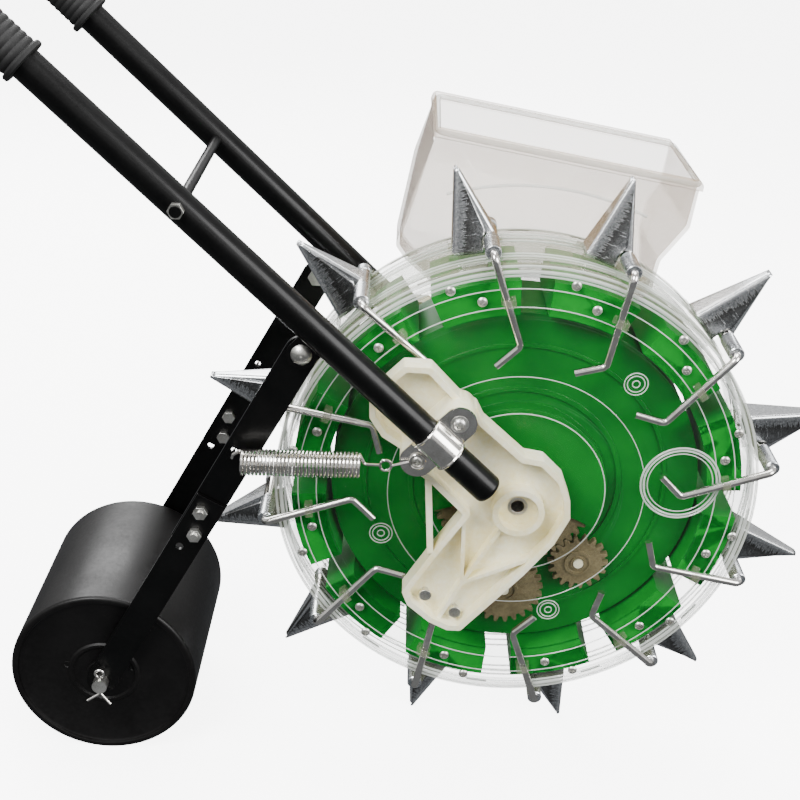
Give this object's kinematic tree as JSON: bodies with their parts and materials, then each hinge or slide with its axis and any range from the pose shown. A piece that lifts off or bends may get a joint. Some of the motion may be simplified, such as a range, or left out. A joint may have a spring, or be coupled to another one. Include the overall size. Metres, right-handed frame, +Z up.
{
  "type": "push seeder",
  "caption": "Hand-pushed rotary seeder: clear drum of sprung dibbling beaks, seed hopper, press roller on sprung arms and two tube handles.",
  "frame": {"origin": "on the drum's axis, at the middle of the beaks' width", "axes": "+X forwards along the row, +Y across to the hopper side, +Z up"},
  "size_m": [0.702, 0.2975, 0.6643],
  "materials": {
    "zinc_steel": "zinc plated",
    "black_paint": "satin black powder coat",
    "clear_plastic": "clear moulded polycarbonate",
    "green_plastic": "green moulded plastic",
    "ivory_nylon": "ivory moulded nylon",
    "gear_plastic": "tan moulded acetal",
    "grip_rubber": "moulded rubber",
    "roller_plastic": "black blow-moulded plastic",
    "spring_steel": "bright zinc spring wire"
  },
  "bodies": {
    "frame": {"axle": "zinc_steel", "axle_spacers": "zinc_steel", "front_bracket": "ivory_nylon", "rear_bracket": "ivory_nylon", "front_handle_tube": "black_paint", "rear_handle_tube": "black_paint", "front_grip": "grip_rubber", "rear_grip": "grip_rubber", "cross_rod": "black_paint", "cross_rod_nuts": "zinc_steel", "tube_clamps": "zinc_steel", "clamp_screws": "zinc_steel", "opener_bolts": "zinc_steel", "hopper": "clear_plastic", "hopper_screws": "zinc_steel", "seed_housing": "green_plastic", "rear_plate": "clear_plastic", "front_spring": "spring_steel", "rear_spring": "spring_steel", "spring_links": "spring_steel", "pivot_bolts": "zinc_steel"},
    "drum": {"drum_cover": "clear_plastic", "drum_rim": "clear_plastic", "compartment_ring": "green_plastic", "hub_bush": "ivory_nylon", "drum_gear": "gear_plastic", "port_cap": "clear_plastic", "cover_screws": "zinc_steel", "fixed_jaws": "zinc_steel", "hinge_sleeves": "zinc_steel", "lever_guides": "clear_plastic"},
    "beak_01": {"flap_01": "zinc_steel"},
    "beak_02": {"flap_02": "zinc_steel"},
    "beak_03": {"flap_03": "zinc_steel"},
    "beak_04": {"flap_04": "zinc_steel"},
    "beak_05": {"flap_05": "zinc_steel"},
    "beak_06": {"flap_06": "zinc_steel"},
    "beak_07": {"flap_07": "zinc_steel"},
    "beak_08": {"flap_08": "zinc_steel"},
    "beak_09": {"flap_09": "zinc_steel"},
    "beak_10": {"flap_10": "zinc_steel"},
    "beak_11": {"flap_11": "zinc_steel"},
    "beak_12": {"flap_12": "zinc_steel"},
    "stirrer": {"stirrer_pinion": "gear_plastic", "stirrer_paddle": "ivory_nylon"},
    "metering": {"metering_gear": "gear_plastic", "metering_roller": "ivory_nylon"},
    "opener_1": {"opener_roller_1": "zinc_steel"},
    "opener_2": {"opener_roller_2": "zinc_steel"},
    "roller_arm": {"front_upper_bar": "black_paint", "rear_upper_bar": "black_paint", "front_lower_bar": "black_paint", "rear_lower_bar": "black_paint", "arm_bolts": "zinc_steel", "roller_axle": "zinc_steel", "cotter_pins": "zinc_steel"},
    "press_roller": {"press_roller": "roller_plastic", "roller_bushes": "roller_plastic"}
  },
  "joints": [
    {"name": "drum_spin", "type": "hinge", "parent": "frame", "child": "drum", "pos_m": [0, 0, 0], "axis": [0, 1, 0], "continuous": true},
    {"name": "beak_01_hinge", "type": "hinge", "parent": "drum", "child": "beak_01", "pos_m": [0.19684, 0, 0.03542], "axis": [0, 1, 0], "range_deg": [0, 20], "stiffness_Nm_per_rad": 0.6, "springref_deg": -20.05},
    {"name": "beak_02_hinge", "type": "hinge", "parent": "drum", "child": "beak_02", "pos_m": [0.15276, 0, 0.12909], "axis": [0, 1, 0], "range_deg": [0, 20], "stiffness_Nm_per_rad": 0.6, "springref_deg": -20.05},
    {"name": "beak_03_hinge", "type": "hinge", "parent": "drum", "child": "beak_03", "pos_m": [0.06775, 0, 0.18818], "axis": [0, 1, 0], "range_deg": [0, 20], "stiffness_Nm_per_rad": 0.6, "springref_deg": -20.05},
    {"name": "beak_04_hinge", "type": "hinge", "parent": "drum", "child": "beak_04", "pos_m": [-0.03542, 0, 0.19684], "axis": [0, 1, 0], "range_deg": [0, 20], "stiffness_Nm_per_rad": 0.6, "springref_deg": -20.05},
    {"name": "beak_05_hinge", "type": "hinge", "parent": "drum", "child": "beak_05", "pos_m": [-0.12909, 0, 0.15276], "axis": [0, 1, 0], "range_deg": [0, 20], "stiffness_Nm_per_rad": 0.6, "springref_deg": -20.05},
    {"name": "beak_06_hinge", "type": "hinge", "parent": "drum", "child": "beak_06", "pos_m": [-0.18818, 0, 0.06775], "axis": [0, 1, 0], "range_deg": [0, 20], "stiffness_Nm_per_rad": 0.6, "springref_deg": -20.05},
    {"name": "beak_07_hinge", "type": "hinge", "parent": "drum", "child": "beak_07", "pos_m": [-0.19684, 0, -0.03542], "axis": [0, 1, 0], "range_deg": [0, 20], "stiffness_Nm_per_rad": 0.6, "springref_deg": -20.05},
    {"name": "beak_08_hinge", "type": "hinge", "parent": "drum", "child": "beak_08", "pos_m": [-0.15276, 0, -0.12909], "axis": [0, 1, 0], "range_deg": [0, 20], "stiffness_Nm_per_rad": 0.6, "springref_deg": -20.05},
    {"name": "beak_09_hinge", "type": "hinge", "parent": "drum", "child": "beak_09", "pos_m": [-0.06775, 0, -0.18818], "axis": [0, 1, 0], "range_deg": [0, 20], "stiffness_Nm_per_rad": 0.6, "springref_deg": -20.05},
    {"name": "beak_10_hinge", "type": "hinge", "parent": "drum", "child": "beak_10", "pos_m": [0.03542, 0, -0.19684], "axis": [0, 1, 0], "range_deg": [0, 20], "stiffness_Nm_per_rad": 0.6, "springref_deg": -20.05},
    {"name": "beak_11_hinge", "type": "hinge", "parent": "drum", "child": "beak_11", "pos_m": [0.12909, 0, -0.15276], "axis": [0, 1, 0], "range_deg": [0, 20], "stiffness_Nm_per_rad": 0.6, "springref_deg": -20.05},
    {"name": "beak_12_hinge", "type": "hinge", "parent": "drum", "child": "beak_12", "pos_m": [0.18818, 0, -0.06775], "axis": [0, 1, 0], "range_deg": [0, 20], "stiffness_Nm_per_rad": 0.6, "springref_deg": -20.05},
    {"name": "stirrer_spin", "type": "hinge", "parent": "frame", "child": "stirrer", "pos_m": [0.05802, 0, -0.06549], "axis": [0, 1, 0], "continuous": true},
    {"name": "metering_spin", "type": "hinge", "parent": "frame", "child": "metering", "pos_m": [0, 0, -0.095], "axis": [0, 1, 0], "continuous": true},
    {"name": "opener_1_spin", "type": "hinge", "parent": "frame", "child": "opener_1", "pos_m": [-0.066, -0.054, -0.0823], "axis": [0, 1, 0], "continuous": true},
    {"name": "opener_2_spin", "type": "hinge", "parent": "frame", "child": "opener_2", "pos_m": [-0.0414, -0.054, -0.097], "axis": [0, 1, 0], "continuous": true},
    {"name": "arm_pivot", "type": "hinge", "parent": "frame", "child": "roller_arm", "pos_m": [-0.169, 0, 0.126], "axis": [0, 1, 0], "range_deg": [-3, 14], "stiffness_Nm_per_rad": 60, "springref_deg": -1.15, "deforming": ["front_spring", "rear_spring"]},
    {"name": "press_roller_spin", "type": "hinge", "parent": "roller_arm", "child": "press_roller", "pos_m": [-0.32264, 0, -0.17166], "axis": [0, 1, 0], "continuous": true}
  ],
  "couplings": [
    {"joint": "stirrer_spin", "follows": "drum_spin", "ratio": -2.8889},
    {"joint": "metering_spin", "follows": "drum_spin", "ratio": -2.1667}
  ]
}
